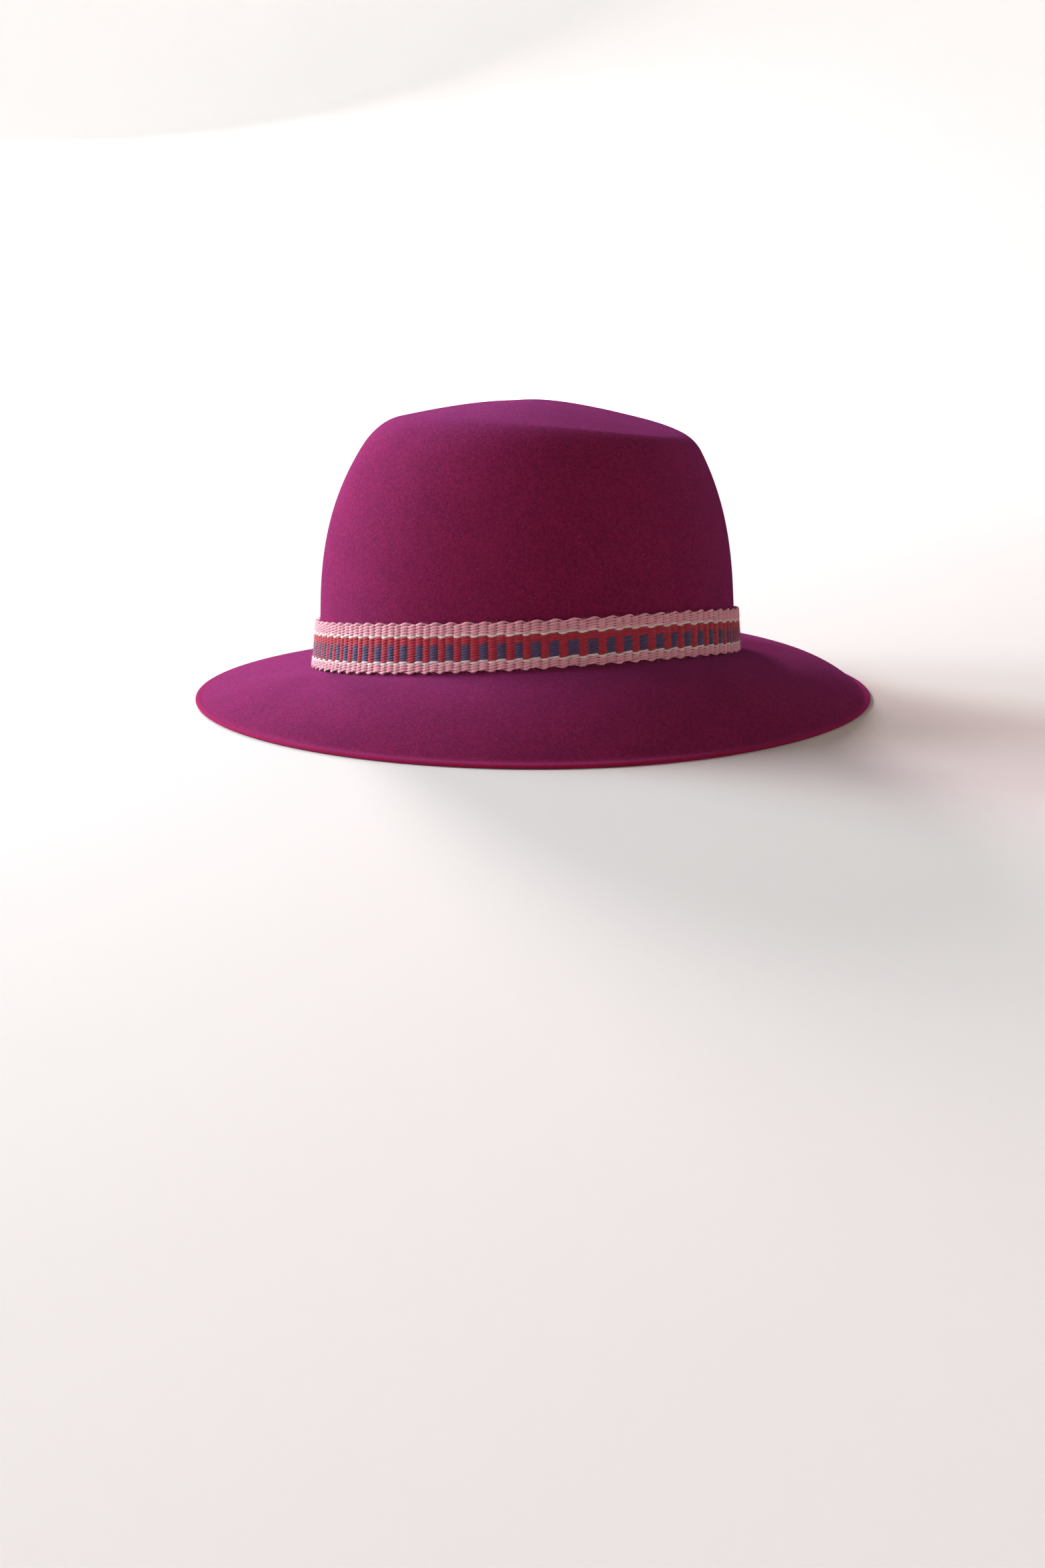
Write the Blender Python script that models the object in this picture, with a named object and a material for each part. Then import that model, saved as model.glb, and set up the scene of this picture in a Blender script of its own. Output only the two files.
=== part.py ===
"""A wool felt trilby with a woven band, at its real size.

Metres. +Z is up, -Y is the wearer's front and +X the wearer's left. The hat lies on its brim's cut
edge, on the surface z = 0, and the origin is under the middle of its box.

The felt is one piece: a sheet drawn through sections all round the hat, from the middle of the tip
over the crown's rim, down the wall and out along the brim, and then made as thick as the felt.
The band is a closed ring that stands round the foot of the wall.
"""

import math
from collections import namedtuple

import bmesh
import bpy
from mathutils import Vector

# The felt
FELT = 0.002  # thickness
HEAD_LENGTH = 0.198  # inside the headline, front to back
HEAD_WIDTH = 0.164  # inside the headline, side to side
HEADLINE_RISE = 0.030  # from the resting surface to the headline, where the brim leaves the wall
WALL_RISE = 0.104  # from the headline up to the crown's rim
WALL_CURVE = 3.05  # power by which the wall draws in: upright at its foot, leaning most at the rim
TIP_RISE = 0.0105  # how far the crown's domed tip stands above its rim
TIP_ROUNDING = 0.65  # the part of the tip that is rounded off: a cone at 0
RIM_TURN = 0.009  # how far the rounding of the rim reaches down the wall and in over the tip
FOOT_FLARE = 0.003  # how far the wall spreads at its foot
FLARE_RISE = 0.030  # the height over which it does
BREAK_RADIUS = 0.0024  # the turn from the wall into the brim
BRIM_WIDTH = 0.064  # along the felt, from the headline to the cut edge
BRIM_CURVE = 2.2  # power by which the brim falls: level at the headline, steepest by the edge
BRIM_FOOT = 0.003  # the level strip along the cut edge that the hat rests on
RIDGE_RISE = 0.0016  # a soft ridge across the brim, from the wall's foot on the wearer's right
RIDGE_DIRECTION = 236.0  # degrees
RIDGE_SPREAD = 11.0  # degrees to either side
RIDGE_SKEW = 0.6  # power that sets the ridge's highest place nearer the wall: halfway out at 1

# The band
BAND_WIDTH = 0.020
BAND_THICKNESS = 0.0022
BAND_GAP = 0.0003  # between the band's back and the felt

# Sections round the hat. Direction is in degrees from the wearer's front, turning to the wearer's
# left. The other columns are shares: headline of HEADLINE_RISE, wall of WALL_RISE, reach of the
# head oval (the rim's plan), turn of RIM_TURN, flare of FOOT_FLARE, brim of BRIM_WIDTH, fall of
# BRIM_CURVE and band of BAND_WIDTH.
Section = namedtuple("Section", "direction headline wall reach turn flare brim fall band")
SECTIONS = (
    Section(0, 0.90, 0.887, 0.811, 0.58, 0.30, 0.967, 1.05, 0.940),
    Section(45, 0.67, 0.961, 0.799, 0.78, 0.30, 1.060, 1.40, 0.890),
    Section(90, 0.66, 1.018, 0.771, 1.00, 0.45, 1.030, 1.20, 0.935),
    Section(135, 0.44, 1.078, 0.720, 1.00, 0.70, 0.990, 0.95, 0.975),
    Section(180, 0.31, 1.117, 0.679, 1.00, 0.95, 0.968, 0.90, 1.010),
    Section(225, 0.47, 1.085, 0.666, 1.15, 1.00, 0.958, 0.85, 1.060),
    Section(270, 0.78, 0.998, 0.699, 1.30, 0.75, 0.952, 0.75, 1.035),
    Section(315, 0.98, 0.922, 0.759, 0.72, 0.45, 0.990, 0.75, 0.965),
)

# How finely the sheet is divided
ROUND_STEPS = 64
TIP_STEPS = 6
TURN_STEPS = 5
WALL_STEPS = 7
FLARE_STEPS = 5
BREAK_STEPS = 3
BRIM_STEPS = 7
BAND_EDGE_STEPS = 4


def remove_everything():
    for obj in list(bpy.data.objects):
        bpy.data.objects.remove(obj, do_unlink=True)


def plain_material(name, color, roughness):
    material = bpy.data.materials.new(name)
    material.use_nodes = True
    shader = material.node_tree.nodes["Principled BSDF"]
    shader.inputs["Base Color"].default_value = (*color, 1.0)
    shader.inputs["Roughness"].default_value = roughness
    shader.inputs["Metallic"].default_value = 0.0
    return material


def share(column, angle):
    """The column's value in any direction: a smooth curve round the hat through its sections."""
    count = len(SECTIONS)
    total = 0.0
    for section in SECTIONS:
        away = angle - math.radians(section.direction)
        weight = 1.0 + math.cos(count / 2 * away)
        for turns in range(1, count // 2):
            weight += 2.0 * math.cos(turns * away)
        total += getattr(section, column) * weight / count
    return total


def head_oval(angle):
    """The outside of the felt at the headline, in plan."""
    across = HEAD_WIDTH / 2 + FELT
    along = HEAD_LENGTH / 2 + FELT
    return Vector((across * math.sin(angle), -along * math.cos(angle), 0.0))


def outward(angle):
    return head_oval(angle).normalized()


def headline_height(angle):
    return HEADLINE_RISE * share("headline", angle)


def wall_height(angle):
    return WALL_RISE * share("wall", angle)


def foot_flare(angle, rise):
    """How far the wall spreads, this far above the headline."""
    left = min(max(1.0 - rise / FLARE_RISE, 0.0), 1.0)
    return FOOT_FLARE * share("flare", angle) * left**2


def wall_point(angle, rise):
    """The outside of the wall, this far above the headline."""
    climbed = rise / wall_height(angle)
    drawn_in = (1.0 - share("reach", angle)) * max(climbed, 0.0) ** WALL_CURVE
    point = head_oval(angle) * (1.0 - drawn_in) + outward(angle) * foot_flare(angle, rise)
    point.z = headline_height(angle) + rise
    return point


def all_directions():
    return [math.tau * step / ROUND_STEPS for step in range(ROUND_STEPS)]


def tip_middle():
    """The middle of the rim, at the rim's mean height."""
    rim = [wall_point(angle, wall_height(angle)) for angle in all_directions()]
    return sum(rim, Vector()) / len(rim)


def tip_point(angle, middle, part_way):
    """The outside of the tip: its middle at 0, the rim at 1."""
    rim = wall_point(angle, wall_height(angle))
    fallen = math.hypot(part_way, TIP_ROUNDING) - TIP_ROUNDING
    whole_fall = math.hypot(1.0, TIP_ROUNDING) - TIP_ROUNDING
    point = middle.lerp(rim, part_way)
    point.z += TIP_RISE * (1.0 - fallen / whole_fall)
    return point


def rounded(start, corner, end, steps):
    """Points of the curve that leaves start for the corner and arrives at end from it."""
    points = []
    for step in range(steps + 1):
        along = step / steps
        points.append(start.lerp(corner, along).lerp(corner.lerp(end, along), along))
    return points


def brim_reach(angle):
    """The brim's width seen from above: the felt's own width, less what its fall takes."""
    width = BRIM_WIDTH * share("brim", angle)
    fall = headline_height(angle) - FELT
    return math.sqrt(width**2 - fall**2)


def ridge(angle, part_way):
    """How far the ridge lifts the brim, this part of the way from the headline to its level strip."""
    away = (math.degrees(angle) - RIDGE_DIRECTION + 180.0) % 360.0 - 180.0
    rise = RIDGE_RISE * math.exp(-((away / RIDGE_SPREAD) ** 2))
    return rise * math.sin(math.pi * part_way**RIDGE_SKEW)


def brim_point(angle, out):
    """The top of the brim, this far out from the head oval."""
    slope_end = brim_reach(angle) - BRIM_FOOT
    part_way = min(out / slope_end, 1.0)
    fallen = part_way ** (BRIM_CURVE * share("fall", angle))
    point = head_oval(angle) + outward(angle) * out
    point.z = headline_height(angle) - (headline_height(angle) - FELT) * fallen
    point.z += ridge(angle, part_way)
    return point


def break_points(angle):
    """The quarter turn from the wall into the brim."""
    points = []
    for step in range(1, BREAK_STEPS):
        turned = math.pi / 2 * step / BREAK_STEPS
        rise = BREAK_RADIUS * (1.0 - math.sin(turned))
        out = foot_flare(angle, rise) + BREAK_RADIUS * (1.0 - math.cos(turned))
        point = head_oval(angle) + outward(angle) * out
        point.z = headline_height(angle) + rise
        points.append(point)
    return points


def felt_section(angle, middle):
    """The outside of the felt in one direction, from the tip to the cut edge."""
    rise = wall_height(angle)
    rim = wall_point(angle, rise)
    turn = RIM_TURN * share("turn", angle)
    tip_end = 1.0 - turn / (rim - middle).length
    wall_end = rise - turn
    points = [tip_point(angle, middle, tip_end * step / TIP_STEPS) for step in range(1, TIP_STEPS)]
    points += rounded(tip_point(angle, middle, tip_end), rim, wall_point(angle, wall_end), TURN_STEPS)
    for step in range(1, WALL_STEPS + 1):
        points.append(wall_point(angle, wall_end + (FLARE_RISE - wall_end) * step / WALL_STEPS))
    for step in range(1, FLARE_STEPS + 1):
        points.append(wall_point(angle, FLARE_RISE + (BREAK_RADIUS - FLARE_RISE) * step / FLARE_STEPS))
    points += break_points(angle)
    slope_start = foot_flare(angle, 0.0) + BREAK_RADIUS
    slope_end = brim_reach(angle) - BRIM_FOOT
    for step in range(BRIM_STEPS + 1):
        points.append(brim_point(angle, slope_start + (slope_end - slope_start) * step / BRIM_STEPS))
    points.append(brim_point(angle, slope_end + BRIM_FOOT / 3))
    points.append(brim_point(angle, slope_end + BRIM_FOOT))
    return points


def box_middle():
    """Where the middle of the hat's box lies, from the middle of the head oval."""
    edge = [brim_point(angle, brim_reach(angle)) for angle in all_directions()]
    sides = [point.x for point in edge]
    ends = [point.y for point in edge]
    return Vector(((min(sides) + max(sides)) / 2, (min(ends) + max(ends)) / 2, 0.0))


def add_object(name, bm, material):
    bmesh.ops.recalc_face_normals(bm, faces=bm.faces)
    mesh = bpy.data.meshes.new(name)
    bm.to_mesh(mesh)
    bm.free()
    mesh.shade_smooth()
    mesh.materials.append(material)
    obj = bpy.data.objects.new(name, mesh)
    obj.location = -box_middle()
    bpy.context.scene.collection.objects.link(obj)
    return obj


def strips(bm, lines, closed):
    """Joins each line of vertices to the next, and the last to the first."""
    for here, line in enumerate(lines):
        after = lines[(here + 1) % len(lines)]
        for step in range(len(line) if closed else len(line) - 1):
            far = (step + 1) % len(line)
            bm.faces.new((line[step], line[far], after[far], after[step]))


def make_felt():
    bm = bmesh.new()
    middle = tip_middle()
    pole = bm.verts.new(tip_point(0.0, middle, 0.0))
    lines = [[bm.verts.new(p) for p in felt_section(angle, middle)] for angle in all_directions()]
    strips(bm, lines, closed=False)
    for here, line in enumerate(lines):
        bm.faces.new((pole, line[0], lines[(here + 1) % len(lines)][0]))
    felt = add_object("felt_body", bm, plain_material("magenta wool felt", (0.15, 0.008, 0.038), 0.95))
    thickness = felt.modifiers.new("felt thickness", "SOLIDIFY")
    thickness.thickness = FELT
    thickness.offset = -1.0
    thickness.use_even_offset = True
    return felt


def band_section(angle):
    """The band cut through in one direction: upright, with rounded edges, clear of the felt."""
    radius = BAND_THICKNESS / 2
    foot = max(BREAK_RADIUS, radius + BAND_GAP)
    head = foot - 2 * radius + BAND_WIDTH * share("band", angle)
    points = []
    for centre, first_turn in ((foot, math.pi), (head, 0.0)):
        for step in range(BAND_EDGE_STEPS + 1):
            turned = first_turn + math.pi * step / BAND_EDGE_STEPS
            out = BAND_GAP + radius + radius * math.cos(turned)
            rise = centre + radius * math.sin(turned)
            points.append(wall_point(angle, rise) + outward(angle) * out)
    return points


def make_band():
    bm = bmesh.new()
    lines = [[bm.verts.new(p) for p in band_section(angle)] for angle in all_directions()]
    strips(bm, lines, closed=True)
    return add_object("hat_band", bm, plain_material("woven band", (0.50, 0.18, 0.20), 0.9))


remove_everything()
make_felt()
make_band()
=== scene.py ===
"""The looks of a wool felt trilby with a woven band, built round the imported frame.

Metres, in the frame's own axes: +Z is up, -Y is the wearer's front and +X the wearer's left.

The felt is the same sheet as the frame's, drawn much finer, with its raw cut edge and its nap.
The band is woven here thread by thread: warp threads run round the crown and change sides at each
pick of the weft, so that every pick shows as an upright rib.
"""

import math
from collections import namedtuple

import bpy
import numpy as np
from mathutils import Matrix, Vector


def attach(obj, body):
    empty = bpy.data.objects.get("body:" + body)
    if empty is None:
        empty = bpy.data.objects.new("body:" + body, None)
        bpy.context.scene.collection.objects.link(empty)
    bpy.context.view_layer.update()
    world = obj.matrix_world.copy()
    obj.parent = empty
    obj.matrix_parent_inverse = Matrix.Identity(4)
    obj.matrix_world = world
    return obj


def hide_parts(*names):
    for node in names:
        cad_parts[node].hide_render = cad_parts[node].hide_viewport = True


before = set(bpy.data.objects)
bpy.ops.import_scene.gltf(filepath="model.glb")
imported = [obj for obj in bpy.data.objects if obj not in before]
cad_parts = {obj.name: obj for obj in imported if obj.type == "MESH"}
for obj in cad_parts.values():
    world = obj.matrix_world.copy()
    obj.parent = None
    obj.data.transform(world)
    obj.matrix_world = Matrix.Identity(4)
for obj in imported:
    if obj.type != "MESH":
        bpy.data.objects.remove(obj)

bpy.context.view_layer.update()

# The felt, with the sizes of its node in the frame
FELT = 0.002  # thickness
HEAD_LENGTH = 0.198  # inside the headline, front to back
HEAD_WIDTH = 0.164  # inside the headline, side to side
HEADLINE_RISE = 0.030  # from the resting surface to the headline, where the brim leaves the wall
WALL_RISE = 0.104  # from the headline up to the crown's rim
WALL_CURVE = 3.05  # power by which the wall draws in: upright at its foot, leaning most at the rim
TIP_RISE = 0.0105  # how far the crown's domed tip stands above its rim
TIP_ROUNDING = 0.65  # the part of the tip that is rounded off: a cone at 0
RIM_TURN = 0.009  # how far the rounding of the rim reaches down the wall and in over the tip
FOOT_FLARE = 0.003  # how far the wall spreads at its foot
FLARE_RISE = 0.030  # the height over which it does
BREAK_RADIUS = 0.0024  # the turn from the wall into the brim
BRIM_WIDTH = 0.064  # along the felt, from the headline to the cut edge
BRIM_CURVE = 2.2  # power by which the brim falls: level at the headline, steepest by the edge
BRIM_FOOT = 0.003  # the level strip along the cut edge that the hat rests on
RIDGE_RISE = 0.0016  # a soft ridge across the brim, from the wall's foot on the wearer's right
RIDGE_DIRECTION = 236.0  # degrees
RIDGE_SPREAD = 11.0  # degrees to either side
RIDGE_SKEW = 0.6  # power that moves the ridge's highest place in from the middle of the brim
EDGE_ROUNDING = 0.00095  # height of the cut edge's two soft corners, and width of the lower one
EDGE_SOFTENING = 0.0024  # how far in from the cut edge its upper corner starts to turn down

# The band, with the sizes of its node in the frame
BAND_WIDTH = 0.020
BAND_THICKNESS = 0.0022
BAND_GAP = 0.0003  # between the band's back and the felt

# Sections round the hat. Direction is in degrees from the wearer's front, turning to the wearer's
# left. The other columns are shares: headline of HEADLINE_RISE, wall of WALL_RISE, reach of the
# head oval (the rim's plan), turn of RIM_TURN, flare of FOOT_FLARE, brim of BRIM_WIDTH, fall of
# BRIM_CURVE and band of BAND_WIDTH.
Section = namedtuple("Section", "direction headline wall reach turn flare brim fall band")
SECTIONS = (
    Section(0, 0.90, 0.887, 0.811, 0.58, 0.30, 0.967, 1.05, 0.940),
    Section(45, 0.67, 0.961, 0.799, 0.78, 0.30, 1.060, 1.40, 0.890),
    Section(90, 0.66, 1.018, 0.771, 1.00, 0.45, 1.030, 1.20, 0.935),
    Section(135, 0.44, 1.078, 0.720, 1.00, 0.70, 0.990, 0.95, 0.975),
    Section(180, 0.31, 1.117, 0.679, 1.00, 0.95, 0.968, 0.90, 1.010),
    Section(225, 0.47, 1.085, 0.666, 1.15, 1.00, 0.958, 0.85, 1.060),
    Section(270, 0.78, 0.998, 0.699, 1.30, 0.75, 0.952, 0.75, 1.035),
    Section(315, 0.98, 0.922, 0.759, 0.72, 0.45, 0.990, 0.75, 0.965),
)

# How finely the felt is drawn
ROUND_STEPS = 320
TIP_RINGS = 26
TURN_RINGS = 14
WALL_RINGS = 34
BREAK_RINGS = 6
BRIM_RINGS = 30
CORNER_RINGS = 6
MEASURE_STEPS = 8 * ROUND_STEPS  # along the band, to find its length

# The weave. Rows are counted from the band's top edge, and each row is two warp threads: one that
# is on the face at even picks, and one, half a row lower, at odd picks.
Row = namedtuple("Row", "even odd")
ROWS = (
    *[Row("rose", "rose")] * 4,
    Row("cream", "cream"),
    *[Row("red", "red")] * 3,
    *[Row("navy", "red")] * 6,
    Row("cream", "cream"),
    *[Row("rose", "rose")] * 3,
)
PICKS = 156
EVEN_PICK = 1.05  # the width of an even pick, as a share of the mean
PICK_UNEVEN = 0.07  # how much the picks' widths differ, as a share
FACE_STEPS = (-0.50, -0.40, -0.26, -0.09, 0.09, 0.26, 0.40)  # a thread's points where it is on the face
BACK_STEPS = (-0.50, -0.38, 0.0, 0.38)  # and on the back, both in picks from the pick's middle
THREAD_SIDES = 8
THREAD_SWING = 0.00058  # how far a thread's middle stands off the band's middle on the face
SWING_POWER = 0.75  # power of its way there: below 1 it keeps that distance over more of the pick
THREAD_REACH = 0.28  # how far past its own pick a thread stays near the face: not at all at 0
THREAD_DEPTH = 0.00052  # half the thickness of a thread
DEPTH_PINCH = 0.8  # how much of that thickness is left where threads change sides
THREAD_FILL = 0.61  # half the height of a thread on the face, as a share of a row
THREAD_PINCH = 0.58  # how much of that height is left where threads change sides
PINCH_POWER = 0.7  # power by which it grows back to the whole height
THREAD_SLANT = 0.00060  # how far a thread climbs over one pick of its face
SLANT_SHARE = {"cream": 0.2}  # the share of that slant for a colour, where it isn't the whole
WAVE = {"cream": 0.00016, "rose": 0.00010}  # how far threads of a colour wave up and down
WAVE_POWER = 0.8  # below 1 the waves have broader tops and sharper low points
VALLEY_SHADE = 0.6  # how much painted shade darkens threads in the valleys where they change sides
VALLEY_POWER = 0.5  # below 1 the painted shade keeps closer to that place
SCALLOP_TOP = 0.00024  # how far the edges wave as the weft turns back
SCALLOP_FOOT = 0.00020
SCALLOP_FADE = 2.2  # threads in from an edge over which its waves die down
CLIMB_UNEVEN = 0.00005  # how unevenly threads lie, up and down
SWING_UNEVEN = 0.00004  # and in and out
HEIGHT_UNEVEN = 0.05  # how much a thread's height differs, as a share
WEFT_INSET = 0.03  # how far the weft keeps from the band's edges, as a share of its width
WEFT_THICKNESS = BAND_THICKNESS / 6

# Loose fibres on the felt and on the band. Lean is the least and the most that they lean over, and
# curl is how much more or less they usually lean at the tip, in radians.
Fibres = namedtuple("Fibres", "count length lean curl")
FELT_FIBRES = Fibres(6500, 0.0014, (1.0, 1.45), 0.35)
BAND_FIBRES = Fibres(9000, 0.0014, (0.3, 1.2), 0.4)
FIBRE_WIDTH = 0.00004
FIBRE_TAPER = 0.8  # how much of that width is gone at the tip
FIBRE_LENGTHS = (0.4, 1.4)  # the shortest and the longest, as shares of the length
FIBRE_STEPS = 3
FIBRE_CLEARANCE = 0.004  # how far the felt's own keep from the band
CLEARED_WIDTH = 1.1  # the width that they keep clear of, as a share of the band's: past its widest place
ROOT_SPREAD = 0.42  # how far the band's roots scatter from its middle, as a share of its width
FACE_DEPTH = 0.98  # how far out through the band they stand on its face, as a share of its thickness
EDGE_DEPTHS = (0.5, 0.9)  # and on its edges
EDGE_LIFT = 1.4  # how steeply those on its edges stand up or down

SEED = 11


def share(column, angle):
    """The column's value in any direction: a smooth curve round the hat through its sections."""
    count = len(SECTIONS)
    total = 0.0
    for section in SECTIONS:
        away = angle - math.radians(section.direction)
        weight = 1.0 + np.cos(count / 2 * away)
        for turns in range(1, count // 2):
            weight += 2.0 * np.cos(turns * away)
        total += getattr(section, column) * weight / count
    return total


def points(across, along, rise):
    """Places as an array whose last axis is x, y and z."""
    return np.stack(np.broadcast_arrays(across, along, rise), axis=-1)


def unit(vectors):
    return vectors / np.linalg.norm(vectors, axis=-1, keepdims=True)


def head_oval(angle):
    """The outside of the felt at the headline, in plan."""
    across = HEAD_WIDTH / 2 + FELT
    along = HEAD_LENGTH / 2 + FELT
    return points(across * np.sin(angle), -along * np.cos(angle), 0.0)


def outward(angle):
    return unit(head_oval(angle))


def headline_height(angle):
    return HEADLINE_RISE * share("headline", angle)


def wall_height(angle):
    return WALL_RISE * share("wall", angle)


def foot_flare(angle, rise):
    """How far the wall spreads, this far above the headline."""
    left = np.clip(1.0 - rise / FLARE_RISE, 0.0, 1.0)
    return FOOT_FLARE * share("flare", angle) * left**2


def wall_point(angle, rise):
    """The outside of the wall, this far above the headline."""
    climbed = np.maximum(rise / wall_height(angle), 0.0)
    drawn_in = (1.0 - share("reach", angle)) * climbed**WALL_CURVE
    place = head_oval(angle) * (1.0 - drawn_in)[..., None]
    place = place + outward(angle) * foot_flare(angle, rise)[..., None]
    place[..., 2] = headline_height(angle) + rise
    return place


def all_directions(steps=ROUND_STEPS):
    return math.tau * np.arange(steps) / steps


def tip_middle():
    """The middle of the rim, at the rim's mean height."""
    angle = all_directions()
    return wall_point(angle, wall_height(angle)).mean(axis=0)


def tip_point(angle, middle, part_way):
    """The outside of the tip: its middle at 0, the rim at 1."""
    rim = wall_point(angle, wall_height(angle))
    part_way = np.broadcast_to(part_way, angle.shape)
    fallen = np.hypot(part_way, TIP_ROUNDING) - TIP_ROUNDING
    whole_fall = math.hypot(1.0, TIP_ROUNDING) - TIP_ROUNDING
    place = middle + (rim - middle) * part_way[..., None]
    place[..., 2] += TIP_RISE * (1.0 - fallen / whole_fall)
    return place


def brim_reach(angle):
    """The brim's width seen from above: the felt's own width, less what its fall takes."""
    width = BRIM_WIDTH * share("brim", angle)
    fall = headline_height(angle) - FELT
    return np.sqrt(width**2 - fall**2)


def ridge(angle, part_way):
    """How far the ridge lifts the brim, this part of the way from the headline to its level strip."""
    away = np.degrees(angle - math.radians(RIDGE_DIRECTION) + math.pi) % 360.0 - 180.0
    return RIDGE_RISE * np.exp(-((away / RIDGE_SPREAD) ** 2)) * np.sin(math.pi * part_way**RIDGE_SKEW)


def brim_point(angle, out):
    """The top of the brim, this far out from the head oval."""
    slope_end = brim_reach(angle) - BRIM_FOOT
    part_way = np.minimum(out / slope_end, 1.0)
    fallen = part_way ** (BRIM_CURVE * share("fall", angle))
    place = head_oval(angle) + outward(angle) * np.broadcast_to(out, angle.shape)[..., None]
    place[..., 2] = headline_height(angle) - (headline_height(angle) - FELT) * fallen
    place[..., 2] += ridge(angle, part_way)
    return place


def box_middle():
    """Where the middle of the hat's box lies, from the middle of the head oval."""
    angle = all_directions()
    edge = brim_point(angle, brim_reach(angle))
    return (edge.min(axis=0) + edge.max(axis=0)) / 2 * (1.0, 1.0, 0.0)


def felt_rings(angle, middle):
    """The outside of the felt, ring after ring, from round the tip's middle to the cut edge."""
    rise = wall_height(angle)
    rim = wall_point(angle, rise)
    turn = RIM_TURN * share("turn", angle)
    tip_end = 1.0 - turn / np.linalg.norm(rim - middle, axis=-1)
    wall_end = rise - turn
    rings = [tip_point(angle, middle, tip_end * step / TIP_RINGS) for step in range(1, TIP_RINGS)]
    start = tip_point(angle, middle, tip_end)
    end = wall_point(angle, wall_end)
    for step in range(TURN_RINGS):
        along = step / TURN_RINGS
        into = start + (rim - start) * along
        away = rim + (end - rim) * along
        rings.append(into + (away - into) * along)
    for step in range(WALL_RINGS + 1):
        rings.append(wall_point(angle, wall_end + (BREAK_RADIUS - wall_end) * step / WALL_RINGS))
    for step in range(1, BREAK_RINGS):
        turned = math.pi / 2 * step / BREAK_RINGS
        rise = BREAK_RADIUS * (1.0 - math.sin(turned))
        out = foot_flare(angle, rise) + BREAK_RADIUS * (1.0 - math.cos(turned))
        place = head_oval(angle) + outward(angle) * out[..., None]
        place[..., 2] = headline_height(angle) + rise
        rings.append(place)
    slope_start = foot_flare(angle, 0.0) + BREAK_RADIUS
    slope_end = brim_reach(angle) - BRIM_FOOT
    for step in range(BRIM_RINGS + 1):
        rings.append(brim_point(angle, slope_start + (slope_end - slope_start) * step / BRIM_RINGS))
    rings.append(brim_point(angle, slope_end + (BRIM_FOOT - EDGE_SOFTENING) / 2))
    rings.append(brim_point(angle, slope_end + BRIM_FOOT - EDGE_SOFTENING))
    return rings


def grid_normals(grid):
    """Outward normals of a grid of points whose first axis is rings, outermost last, and whose
    second axis is directions, which close on themselves."""
    down = np.gradient(grid, axis=0)
    round_about = np.roll(grid, -1, axis=1) - np.roll(grid, 1, axis=1)
    return unit(np.cross(down, round_about))


def edge_rings(angle):
    """Round the raw cut edge: over its upper corner, down and round its lower corner."""
    rings = []
    upper = (FELT - EDGE_ROUNDING, math.pi / 2, EDGE_SOFTENING)
    lower = (EDGE_ROUNDING, 0.0, EDGE_ROUNDING)
    for centre, first_turn, width in (upper, lower):
        for step in range(CORNER_RINGS + 1):
            turned = first_turn - math.pi / 2 * step / CORNER_RINGS
            out = brim_reach(angle) - width * (1.0 - math.cos(turned))
            place = head_oval(angle) + outward(angle) * out[..., None]
            place[..., 2] = centre + EDGE_ROUNDING * math.sin(turned)
            rings.append(place)
    return rings[1:]


def add_mesh(name, verts, faces, material):
    """A smooth object from an array of places and a list of faces."""
    mesh = bpy.data.meshes.new(name)
    mesh.from_pydata(verts.reshape(-1, 3).tolist(), [], faces)
    mesh.update()
    mesh.shade_smooth()
    mesh.materials.append(material)
    obj = bpy.data.objects.new(name, mesh)
    bpy.context.scene.collection.objects.link(obj)
    return obj


def add_notes(obj, name, vectors):
    """Keeps a vector at each corner of each face, for the object's material to read."""
    layer = obj.data.attributes.new(name, "FLOAT_VECTOR", "CORNER")
    layer.data.foreach_set("vector", vectors.astype(np.float32).ravel())


def grid_faces(rings, steps, first=0):
    """Quads between each ring and the next, where every ring closes on itself."""
    ring = np.arange(rings - 1)[:, None] * steps
    here = np.arange(steps)[None, :]
    after = (here + 1) % steps
    quads = np.stack([ring + here, ring + steps + here, ring + steps + after, ring + after], axis=-1)
    return quads.reshape(-1, 4) + first


def felt_outside():
    """The felt's outside as a grid of points: rings by directions."""
    return np.array(felt_rings(all_directions(), tip_middle()))


def make_felt(material):
    angle = all_directions()
    middle = tip_middle()
    outside = felt_outside()
    inside = (outside - grid_normals(outside) * FELT)[::-1]
    rings = np.concatenate([outside, np.array(edge_rings(angle)), inside])
    top = tip_point(np.zeros(1), middle, 0.0)
    poles = np.concatenate([top, top - (0.0, 0.0, FELT)])
    verts = np.concatenate([poles, rings.reshape(-1, 3)]) - box_middle()
    first = len(poles)
    last = first + (len(rings) - 1) * ROUND_STEPS
    quads = grid_faces(len(rings), ROUND_STEPS, first).tolist()
    sides = [(here, (here + 1) % ROUND_STEPS) for here in range(ROUND_STEPS)]
    caps = [(0, first + here, first + after) for here, after in sides]
    caps += [(1, last + after, last + here) for here, after in sides]
    return add_mesh("felt", verts, quads + caps, material)


def band_place(angle, climbed, out):
    """A place in the band: how far up it, from 0 at its lower edge to 1, and how far off the wall."""
    radius = BAND_THICKNESS / 2
    lower = max(BREAK_RADIUS, radius + BAND_GAP) - radius
    rise = lower + BAND_WIDTH * share("band", angle) * climbed
    return wall_point(angle, rise) + outward(angle) * np.broadcast_to(out, angle.shape)[..., None]


def pick_edges(random):
    """Where each pick starts, as a share of the way round, with the end of the last."""
    widths = 1.0 + PICK_UNEVEN * random.standard_normal(PICKS)
    widths[0::2] *= EVEN_PICK
    widths[1::2] *= 2.0 - EVEN_PICK
    return np.concatenate([[0.0], np.cumsum(widths)]) / widths.sum()


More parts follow.
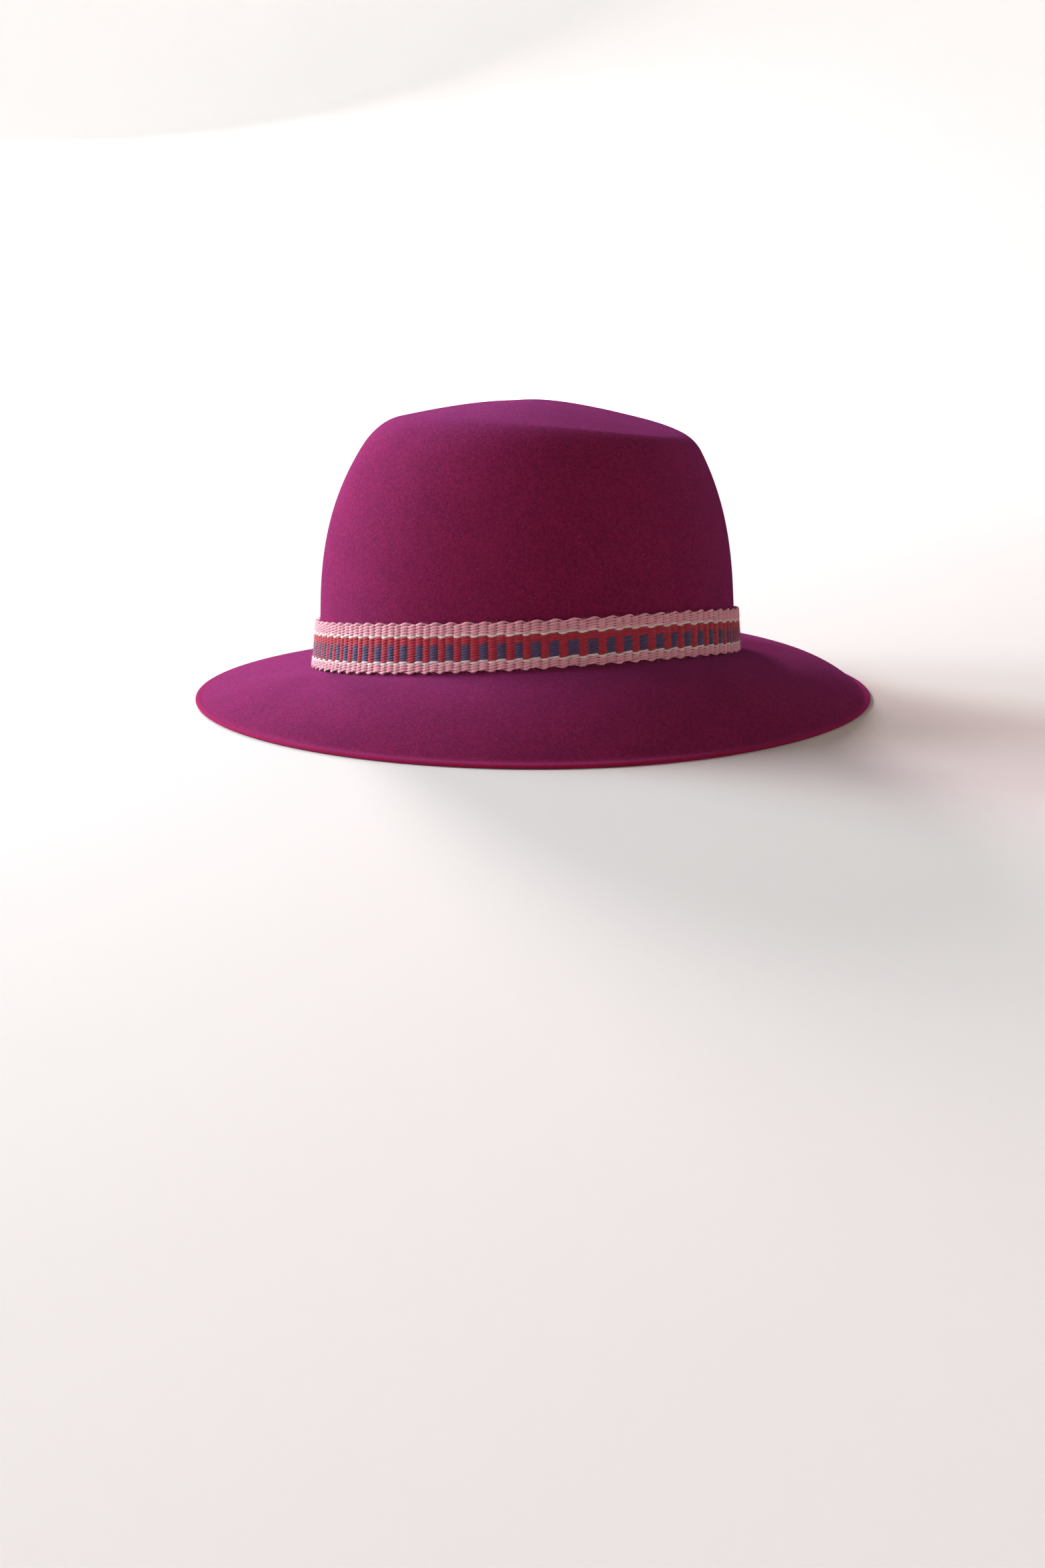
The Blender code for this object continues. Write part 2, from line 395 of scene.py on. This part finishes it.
def angle_along(way):
    """The direction that lies this share of the way round the band."""
    angle = np.linspace(0.0, math.tau, MEASURE_STEPS + 1)
    line = band_place(angle, 0.5, BAND_THICKNESS / 2)
    lengths = np.concatenate([[0.0], np.cumsum(np.linalg.norm(np.diff(line, axis=0), axis=-1))])
    return np.interp(way, lengths / lengths[-1], angle), lengths[-1]


def thread_points(edges, parity):
    """Where along the band a thread has points: the pick of each, and its place in that pick."""
    pick, place = [], []
    for number in range(PICKS):
        steps = FACE_STEPS if number % 2 == parity else BACK_STEPS
        pick += [number] * len(steps)
        place += steps
    pick, place = np.array(pick), np.array(place)
    way = edges[pick] + (place + 0.5) * (edges[pick + 1] - edges[pick])
    return pick, place, way


def climb_of(row, parity, color, turned, uneven):
    """How far a thread lies above its place in the band: its slant, its waves and its unevenness."""
    from_top = 2 * row + parity
    from_foot = 2 * len(ROWS) - 1 - from_top
    wave = 2.0 * np.abs(np.cos(turned / 2)) ** WAVE_POWER - 1.0
    height = WAVE.get(color, 0.0)
    height += SCALLOP_TOP * math.exp(-from_top / SCALLOP_FADE)
    height += SCALLOP_FOOT * math.exp(-from_foot / SCALLOP_FADE)
    slant = THREAD_SLANT * SLANT_SHARE.get(color, 1.0) / 2
    return slant * np.sin(turned - math.pi * parity) + wave * height + CLIMB_UNEVEN * uneven


def make_thread(row, parity, color, edges, random):
    """One warp thread all the way round: its rings of points, and what its material reads."""
    pick, place, way = thread_points(edges, parity)
    angle, length = angle_along(way)
    turned = math.pi * (pick + place)
    on_face = np.cos(turned - math.pi * parity)
    swing = (on_face + THREAD_REACH) / (1.0 + THREAD_REACH)
    swing = THREAD_SWING * np.sign(swing) * np.abs(swing) ** SWING_POWER
    uneven = random.standard_normal((3, PICKS))[:, pick] * np.cos(math.pi * place) ** 2
    row_height = 1.0 / len(ROWS)
    climbed = 1.0 - (row + 0.25 + 0.5 * parity) * row_height
    middle = BAND_GAP + BAND_THICKNESS / 2
    line = band_place(angle, climbed, middle + swing + SWING_UNEVEN * uneven[1])
    line[:, 2] += climb_of(row, parity, color, turned, uneven[0])
    ahead = np.roll(line, -1, axis=0) - np.roll(line, 1, axis=0)
    side = unit(points(ahead[:, 1], -ahead[:, 0], 0.0))
    pinch = THREAD_PINCH + (1.0 - THREAD_PINCH) * np.maximum(on_face, 0.0) ** PINCH_POWER
    half_height = BAND_WIDTH * share("band", angle) * row_height * THREAD_FILL * pinch
    half_height = half_height * (1.0 + HEIGHT_UNEVEN * uneven[2])
    half_depth = THREAD_DEPTH * (DEPTH_PINCH + (1.0 - DEPTH_PINCH) * np.abs(on_face))
    about = math.tau * np.arange(THREAD_SIDES) / THREAD_SIDES
    out = side[:, None, :] * (half_depth[:, None] * np.cos(about))[..., None]
    up = points(0.0, 0.0, 1.0) * (half_height[:, None] * np.sin(about))[..., None]
    # Each pick's random tone, less a painted shade in the valleys where the thread changes sides
    tone = random.random(PICKS)[pick] - VALLEY_SHADE * (1.0 - np.abs(on_face) ** VALLEY_POWER)
    return line[:, None, :] + out + up, way * length, tone


def thread_faces(count, first):
    """Quads round a closed thread, and for each corner its step along and its side, not wrapped."""
    ring = np.arange(count)[:, None]
    side = np.arange(THREAD_SIDES)[None, :]
    corners = ((0, 0), (0, 1), (1, 1), (1, 0))
    quads = [((ring + a) % count) * THREAD_SIDES + (side + b) % THREAD_SIDES + first for a, b in corners]
    along = [np.broadcast_to(ring + a, (count, THREAD_SIDES)) for a, b in corners]
    about = [np.broadcast_to(side + b, (count, THREAD_SIDES)) for a, b in corners]
    return [np.stack(each, axis=-1).reshape(-1, 4) for each in (quads, along, about)]


def make_yarn(name, color, edges, material):
    """All warp threads of one colour, as one piece."""
    verts, faces, notes = [], [], []
    first = 0
    for row, threads in enumerate(ROWS):
        for parity, thread_color in enumerate(threads):
            if thread_color != color:
                continue
            random = np.random.default_rng(SEED + 2 * row + parity)
            rings, along, tone = make_thread(row, parity, color, edges, random)
            quads, ring, side = thread_faces(len(rings), first)
            length = np.append(along, along[0] + 2 * along[-1] - along[-2])
            first += rings.shape[0] * THREAD_SIDES
            verts.append(rings.reshape(-1, 3))
            faces.append(quads)
            # The third measure is the pick's random tone with its painted valley shade
            note = points(length[ring], side / THREAD_SIDES, tone[ring % len(rings)])
            notes.append(note.reshape(-1, 3))
    verts = np.concatenate(verts) - box_middle()
    obj = add_mesh(name, verts, np.concatenate(faces).tolist(), material)
    add_notes(obj, "yarn", np.concatenate(notes))
    return obj


def make_weft(material):
    """The weft that the warp closes in: a flat ring in the middle of the band."""
    angle = all_directions()
    middle = BAND_GAP + BAND_THICKNESS / 2
    half = WEFT_THICKNESS / 2
    rings = [
        band_place(angle, WEFT_INSET, middle + half),
        band_place(angle, WEFT_INSET, middle - half),
        band_place(angle, 1.0 - WEFT_INSET, middle - half),
        band_place(angle, 1.0 - WEFT_INSET, middle + half),
    ]
    faces = grid_faces(len(rings) + 1, ROUND_STEPS) % (len(rings) * ROUND_STEPS)
    return add_mesh("band_weft", np.array(rings) - box_middle(), faces.tolist(), material)


def felt_roots(random):
    """Where fibres stand on the felt, evenly over its outside but not by the band, and which way."""
    grid = felt_outside()
    normals = grid_normals(grid)
    ring_step = np.linalg.norm(np.gradient(grid, axis=0), axis=-1)
    side_step = np.linalg.norm(np.roll(grid, -1, axis=1) - grid, axis=-1)
    area = ring_step * side_step
    rise = grid[..., 2] - headline_height(all_directions())
    reach = np.linalg.norm(grid[..., :2], axis=-1) - np.linalg.norm(head_oval(all_directions()), axis=-1)
    near_wall = reach < FOOT_FLARE + BAND_THICKNESS + FIBRE_CLEARANCE
    near_foot = rise < BAND_WIDTH * CLEARED_WIDTH + FIBRE_CLEARANCE
    area[near_wall & near_foot] = 0.0
    chosen = random.choice(area.size, FELT_FIBRES.count, p=area.ravel() / area.sum())
    return grid.reshape(-1, 3)[chosen], normals.reshape(-1, 3)[chosen]


def band_roots(random):
    """Where fibres stand on the band's face and edges, which way, and the colour of their thread."""
    count = BAND_FIBRES.count
    angle = random.uniform(0.0, math.tau, count)
    climbed = np.clip(random.normal(0.5, ROOT_SPREAD, count), 0.0, 1.0)
    edge = np.where(climbed >= 1.0, 1.0, np.where(climbed <= 0.0, -1.0, 0.0))
    depth = np.where(edge == 0.0, FACE_DEPTH, random.uniform(*EDGE_DEPTHS, count))
    roots = band_place(angle, climbed, BAND_GAP + BAND_THICKNESS * depth)
    normals = outward(angle)
    normals[:, 2] = edge * EDGE_LIFT
    row = np.minimum((1.0 - climbed) * len(ROWS), len(ROWS) - 1).astype(int)
    colors = np.array([YARN_COLORS[ROWS[each].even][:3] for each in row])
    return roots, unit(normals), colors


def make_fibres(name, roots, normals, colors, kind, random, material):
    """Short curled fibres, each a thin strip that stands from its root and tapers."""
    count = len(roots)
    sideways = unit(np.cross(normals, random.standard_normal((count, 3))))
    across = np.cross(normals, sideways)
    lean = random.uniform(*kind.lean, count)
    curl = random.normal(0.0, kind.curl, count)
    length = kind.length * random.uniform(*FIBRE_LENGTHS, count)
    place = roots
    lines = []
    for step in range(FIBRE_STEPS + 1):
        width = FIBRE_WIDTH / 2 * (1.0 - FIBRE_TAPER * step / FIBRE_STEPS)
        lines += [place - across * width, place + across * width]
        tilt = (lean + curl * step / FIBRE_STEPS)[:, None]
        heading = normals * np.abs(np.cos(tilt)) + sideways * np.sin(tilt)
        place = place + heading * (length / FIBRE_STEPS)[:, None]
    verts = np.stack(lines, axis=1)
    first = (np.arange(count) * verts.shape[1])[:, None, None]
    step = (2 * np.arange(FIBRE_STEPS))[None, :, None]
    faces = (first + step + np.array([0, 1, 3, 2])).reshape(-1, 4).tolist()
    obj = add_mesh(name, verts - box_middle(), faces, material)
    add_notes(obj, "fibre", np.repeat(np.broadcast_to(colors, (count, 3)), 4 * FIBRE_STEPS, axis=0))
    return obj


class Nodes:
    """A material's node tree, with short ways to add to it."""

    def __init__(self, name):
        self.material = bpy.data.materials.new(name)
        self.material.use_nodes = True
        self.tree = self.material.node_tree
        self.shader = self.tree.nodes["Principled BSDF"]

    def add(self, kind, settings=None, **inputs):
        node = self.tree.nodes.new(kind)
        for key, value in (settings or {}).items():
            setattr(node, key, value)
        self.fill(node, **inputs)
        return node

    def fill(self, node, **inputs):
        """Sets or links a node's sockets. Their names have _ for a space."""
        for key, value in inputs.items():
            self.set(node.inputs[key.replace("_", " ")], value)

    def set(self, socket, value):
        if isinstance(value, bpy.types.NodeSocket):
            self.tree.links.new(value, socket)
        else:
            socket.default_value = value

    def math(self, operation, first, second=0.0):
        node = self.tree.nodes.new("ShaderNodeMath")
        node.operation = operation
        self.set(node.inputs[0], first)
        self.set(node.inputs[1], second)
        return node.outputs[0]

    def total(self, value, *others):
        """A value and others added to it, each times its own share."""
        for other, part in others:
            value = self.math("ADD", value, self.math("MULTIPLY", other, part))
        return value

    def place(self):
        """Where on the hat the surface is."""
        return self.add("ShaderNodeTexCoord").outputs["Object"]

    def noise(self, scale, detail=2.0):
        """Noise with features about 1 / scale metres across."""
        node = self.add("ShaderNodeTexNoise", Vector=self.place(), Scale=scale, Detail=detail)
        return node.outputs["Fac"]

    def spread(self, value, limits, low, high):
        """Goes smoothly from low to high as the value goes from one limit to the other."""
        node = self.add("ShaderNodeMapRange", {"interpolation_type": "SMOOTHSTEP"})
        for socket, number in zip(node.inputs, (value, *limits, low, high)):
            self.set(socket, number)
        return node.outputs["Result"]

    def mix(self, factor, first, second):
        """A colour between two: the node's inputs 6 and 7 and its output 2 are those for colours."""
        node = self.add("ShaderNodeMix", {"data_type": "RGBA"})
        self.set(node.inputs["Factor"], factor)
        self.set(node.inputs[6], first)
        self.set(node.inputs[7], second)
        return node.outputs[2]

    def bump(self, height, distance, strength=1.0):
        node = self.add("ShaderNodeBump", Height=height, Distance=distance, Strength=strength)
        return node.outputs["Normal"]


# The felt's looks. A noise's scale is how many of its features fit in a metre.
FELT_DEEP = (0.106, 0.0055, 0.0230, 1.0)
FELT_LIGHT = (0.184, 0.0093, 0.0392, 1.0)
FELT_SPECK = (0.300, 0.0300, 0.1100, 1.0)
# The raw cut edge's redder, brighter colour: partly the edge's own, partly a painted glow of light through
# the felt
FELT_CUT_EDGE_AND_GLOW = (0.300, 0.0080, 0.032, 1.0)
FELT_FIBRE = (0.270, 0.0350, 0.1300)
FELT_DETAIL = 3.0  # of the grain's and the flecks' noise
GRAIN_SCALE = 1500.0
GRAIN_SHARE = 0.50  # of the tone, which goes from the deep colour to the light one
FLECK_SCALE = 700.0
FLECK_SHARE = 0.38
CLOUD_SCALE = 60.0
CLOUD_SHARE = 0.12
TONE_LIMITS = (0.38, 0.62)
SPECK_SCALE = 1900.0
SPECK_DETAIL = 1.0
SPECK_LIMITS = (0.69, 0.78)
SPECK_AMOUNT = 0.6
CUT_GLOW_LIMITS = (0.0008, 0.0030)  # heights over which the cut edge's colour, its own and a painted glow of light through the felt, fades out
CUT_GLOW_AMOUNT = 0.7
NAP_SCALE = 4200.0
FELT_BUMP = 0.00028
FELT_BUMP_STRENGTH = 0.8


def felt_material():
    nodes = Nodes("magenta wool felt")
    grain = nodes.noise(GRAIN_SCALE, FELT_DETAIL)
    flecks = nodes.noise(FLECK_SCALE, FELT_DETAIL)
    clouds = nodes.noise(CLOUD_SCALE)
    tone = nodes.math("MULTIPLY", grain, GRAIN_SHARE)
    tone = nodes.total(tone, (flecks, FLECK_SHARE), (clouds, CLOUD_SHARE))
    base = nodes.mix(nodes.spread(tone, TONE_LIMITS, 0.0, 1.0), FELT_DEEP, FELT_LIGHT)
    specks = nodes.spread(nodes.noise(SPECK_SCALE, SPECK_DETAIL), SPECK_LIMITS, 0.0, SPECK_AMOUNT)
    base = nodes.mix(specks, base, FELT_SPECK)
    height = nodes.add("ShaderNodeSeparateXYZ", Vector=nodes.place()).outputs["Z"]
    # The edge's own colour with its painted glow, fading out up from the cut edge
    cut_edge_and_glow = nodes.spread(height, CUT_GLOW_LIMITS, CUT_GLOW_AMOUNT, 0.0)
    nap = nodes.math("ADD", grain, nodes.noise(NAP_SCALE))
    nodes.fill(
        nodes.shader,
        Base_Color=nodes.mix(cut_edge_and_glow, base, FELT_CUT_EDGE_AND_GLOW),
        Normal=nodes.bump(nap, FELT_BUMP, FELT_BUMP_STRENGTH),
        Roughness=1.0,
        Specular_IOR_Level=0.0,
        Sheen_Weight=0.12,
        Sheen_Roughness=0.65,
        Sheen_Tint=(0.72, 0.26, 1.0, 1.0),
    )
    return nodes.material


# The yarns' looks
YARN_COLORS = {
    "rose": (0.62, 0.262, 0.305, 1.0),
    "cream": (0.60, 0.47, 0.43, 1.0),
    "red": (0.35, 0.0112, 0.0275, 1.0),
    "navy": (0.062, 0.036, 0.096, 1.0),
}
YARN_DARK = 0.50  # the darkest tone, as a share of a yarn's colour: random tone and painted shade together
YARN_PALE = 1.18  # and the palest: random tone and painted highlight together
YARN_LIFT = 0.01  # added to the palest
PLY_TWIST = 5600.0  # radians in a metre of thread
PLY_STRANDS = 3
PLY_SHARE = 0.4  # of the height, beside the noise of the yarn's own fibres
YARN_NOISE = 4000.0
TONE_AND_VALLEY_SHADE_SHARE = 0.35  # how much a thread's own tone, with its painted valley shade, counts beside that height
YARN_LIMITS = (-0.6, 1.2)
YARN_BUMP = 0.00012


def yarn_material(color):
    """Plied yarn, with painted highlight and shade in its colour. It reads the thread's own measures:
    metres along, turns about and a random tone with painted shade in its valleys.
    """
    nodes = Nodes(f"{color} yarn")
    base = YARN_COLORS[color][:3]
    dark = (*[YARN_DARK * value for value in base], 1.0)
    pale = (*[min(YARN_PALE * value + YARN_LIFT, 1.0) for value in base], 1.0)
    own = nodes.add("ShaderNodeAttribute", {"attribute_name": "yarn"}).outputs["Vector"]
    parts = nodes.add("ShaderNodeSeparateXYZ", Vector=own).outputs
    along = nodes.math("MULTIPLY", parts["X"], -PLY_TWIST)
    about = nodes.math("MULTIPLY", parts["Y"], PLY_STRANDS * math.tau)
    ply = nodes.math("SINE", nodes.math("ADD", along, about))
    # This height bumps the surface; in the base colour it is also a painted highlight on the plies' ridges
    # and painted shade in their grooves, beside the fibres' random tone
    height = nodes.total(nodes.noise(YARN_NOISE), (ply, PLY_SHARE))
    tone = nodes.total(height, (parts["Z"], TONE_AND_VALLEY_SHADE_SHARE))
    nodes.fill(
        nodes.shader,
        Base_Color=nodes.mix(nodes.spread(tone, YARN_LIMITS, 0.0, 1.0), dark, pale),
        Normal=nodes.bump(height, YARN_BUMP),
        Roughness=0.9,
        Specular_IOR_Level=0.2,
        Sheen_Weight=0.25,
        Sheen_Roughness=0.4,
    )
    return nodes.material


# The looks of the loose fibres and of the weft
FIBRE_NOISE = 900.0
FIBRE_LIMITS = (0.3, 0.7)
FIBRE_PALE = (1.0, 0.9, 0.95, 1.0)  # the colour that fibres go towards here and there
FIBRE_PALENESS = 0.12
WEFT_NOISE = 2500.0
WEFT_DARK = (0.22, 0.040, 0.065, 1.0)
WEFT_LIGHT = (0.34, 0.075, 0.110, 1.0)


def fibre_material():
    """Loose fibres, each of its own colour."""
    nodes = Nodes("loose fibres")
    own = nodes.add("ShaderNodeAttribute", {"attribute_name": "fibre"}).outputs["Vector"]
    pale = nodes.spread(nodes.noise(FIBRE_NOISE), FIBRE_LIMITS, 0.0, FIBRE_PALENESS)
    base = nodes.mix(pale, own, FIBRE_PALE)
    nodes.fill(nodes.shader, Base_Color=base, Roughness=0.8, Specular_IOR_Level=0.3)
    return nodes.material


def weft_material():
    nodes = Nodes("weft")
    base = nodes.mix(nodes.noise(WEFT_NOISE), WEFT_DARK, WEFT_LIGHT)
    nodes.fill(nodes.shader, Base_Color=base, Roughness=0.95)
    return nodes.material


# The camera, from the photograph: its height and turn round the hat, and where the middle of the
# head oval, on the surface that the hat rests on, shows in the picture
PICTURE_WIDTH = 1568
PICTURE_HEIGHT = 2352
FOCAL_PIXELS = 2700.0
MIDDLE_PIXEL_X = 786.9
MIDDLE_PIXEL_Y = 1039.3
CAMERA_AZIMUTH = -55.0  # degrees, from straight in front of the wearer
CAMERA_ELEVATION = 11.884
CAMERA_DISTANCE = 0.848
CAMERA_ROLL = 1.064
SENSOR = 36.0  # millimetres, along the picture's long side


def direction(azimuth, elevation):
    """The unit vector that points from the hat this way."""
    turn, lift = math.radians(azimuth), math.radians(elevation)
    return Vector((math.sin(turn) * math.cos(lift), -math.cos(turn) * math.cos(lift), math.sin(lift)))


def add_camera():
    data = bpy.data.cameras.new("camera")
    data.sensor_width = SENSOR
    data.lens = FOCAL_PIXELS / PICTURE_HEIGHT * SENSOR
    camera = bpy.data.objects.new("camera", data)
    bpy.context.scene.collection.objects.link(camera)
    away = direction(CAMERA_AZIMUTH, CAMERA_ELEVATION)
    middle = Vector(-box_middle())
    yaw = math.atan2(MIDDLE_PIXEL_X - PICTURE_WIDTH / 2, FOCAL_PIXELS)
    pitch = math.atan2((MIDDLE_PIXEL_Y - PICTURE_HEIGHT / 2) * math.cos(yaw), FOCAL_PIXELS)
    camera.matrix_world = (
        Matrix.Translation(middle + away * CAMERA_DISTANCE)
        @ away.to_track_quat("Z", "Y").to_matrix().to_4x4()
        @ Matrix.Rotation(-math.radians(CAMERA_ROLL), 4, "Z")
        @ Matrix.Rotation(pitch, 4, "X")
        @ Matrix.Rotation(yaw, 4, "Y")
    )
    bpy.context.scene.camera = camera


# The room's light. Each window's turn is in degrees from the camera, clockwise seen from above.
Window = namedtuple("Window", "name turn elevation size power color")
WINDOWS = (
    Window("side window", 98, 15, 1.6, 190.0, (0.75, 0.83, 1.0)),
    Window("low window", 125, 15, 1.6, 305.0, (0.68, 1.0, 1.01)),
    Window("high window", 125, 40, 1.6, 88.0, (1.0, 0.85, 0.91)),
    Window("back window", 163, 20, 0.9, 200.0, (1.0, 0.90, 0.95)),
)
WINDOW_DISTANCE = 4.0
ROOM_COLOR = (1.0, 0.68, 0.56, 1.0)
ROOM_STRENGTH = 0.23


def add_light(window):
    data = bpy.data.lights.new(window.name, "AREA")
    data.shape = "DISK"
    data.size = window.size
    data.energy = window.power
    data.color = window.color
    light = bpy.data.objects.new(window.name, data)
    light.visible_camera = False
    away = direction(CAMERA_AZIMUTH - window.turn, window.elevation)
    light.location = away * WINDOW_DISTANCE
    light.rotation_euler = away.to_track_quat("Z", "Y").to_euler()
    bpy.context.scene.collection.objects.link(light)


def add_world():
    world = bpy.data.worlds.new("studio")
    world.use_nodes = True
    background = world.node_tree.nodes["Background"]
    background.inputs["Color"].default_value = ROOM_COLOR
    background.inputs["Strength"].default_value = ROOM_STRENGTH
    bpy.context.scene.world = world


COVE_MIDDLE = 0.02  # radius of the floor's middle, which is one face
COVE_FLAT = 3.0  # radius of its level part
COVE_BEND = 1.2  # radius of its turn up into the wall
COVE_WALL = 2.0  # height of the wall above that turn
COVE_STEPS = 96
BEND_STEPS = 12
FLOOR_COLOR = (0.57, 0.53, 0.505, 1.0)
FLOOR_SHADE = 0.98  # its darker clouds
FLOOR_NOISE = 3.0


def floor_material():
    nodes = Nodes("pale floor")
    darker = tuple(FLOOR_SHADE * value for value in FLOOR_COLOR)
    base = nodes.mix(nodes.noise(FLOOR_NOISE), FLOOR_COLOR, darker)
    nodes.fill(nodes.shader, Base_Color=base, Roughness=0.9, Specular_IOR_Level=0.1)
    return nodes.material


def add_floor():
    """A plain pale round cove: level round the hat, and turned up far from it."""
    angle = all_directions(COVE_STEPS)
    profile = [(COVE_MIDDLE, 0.0), (COVE_FLAT / 4, 0.0), (COVE_FLAT, 0.0)]
    for step in range(1, BEND_STEPS + 1):
        turned = math.pi / 2 * step / BEND_STEPS
        profile.append((COVE_FLAT + COVE_BEND * math.sin(turned), COVE_BEND * (1.0 - math.cos(turned))))
    profile.append((COVE_FLAT + COVE_BEND, COVE_BEND + COVE_WALL))
    rings = np.array([points(r * np.sin(angle), -r * np.cos(angle), z) for r, z in profile])
    faces = grid_faces(len(rings), COVE_STEPS)[:, ::-1].tolist()
    faces.append(list(range(COVE_STEPS)))
    add_mesh("floor", rings, faces, floor_material())


felt = make_felt(felt_material())
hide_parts("felt_body")
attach(felt, "root")

edges = pick_edges(np.random.default_rng(SEED))
band = [make_yarn(f"band_{color}", color, edges, yarn_material(color)) for color in YARN_COLORS]
band.append(make_weft(weft_material()))
for piece in band:
    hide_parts("hat_band")
    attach(piece, "root")

random = np.random.default_rng(SEED)
fibre = fibre_material()
roots, normals = felt_roots(random)
felt_fibres = make_fibres("felt_fibres", roots, normals, FELT_FIBRE, FELT_FIBRES, random, fibre)
roots, normals, colors = band_roots(random)
band_fibres = make_fibres("band_fibres", roots, normals, colors, BAND_FIBRES, random, fibre)
for piece, node, slot in ((felt_fibres, "felt_body", "wool_felt"), (band_fibres, "hat_band", "woven_band")):
    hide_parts(node)
    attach(piece, "root")

add_floor()
add_camera()
add_world()
for window in WINDOWS:
    add_light(window)
bpy.context.scene.view_settings.view_transform = "Standard"

bpy.context.view_layer.update()
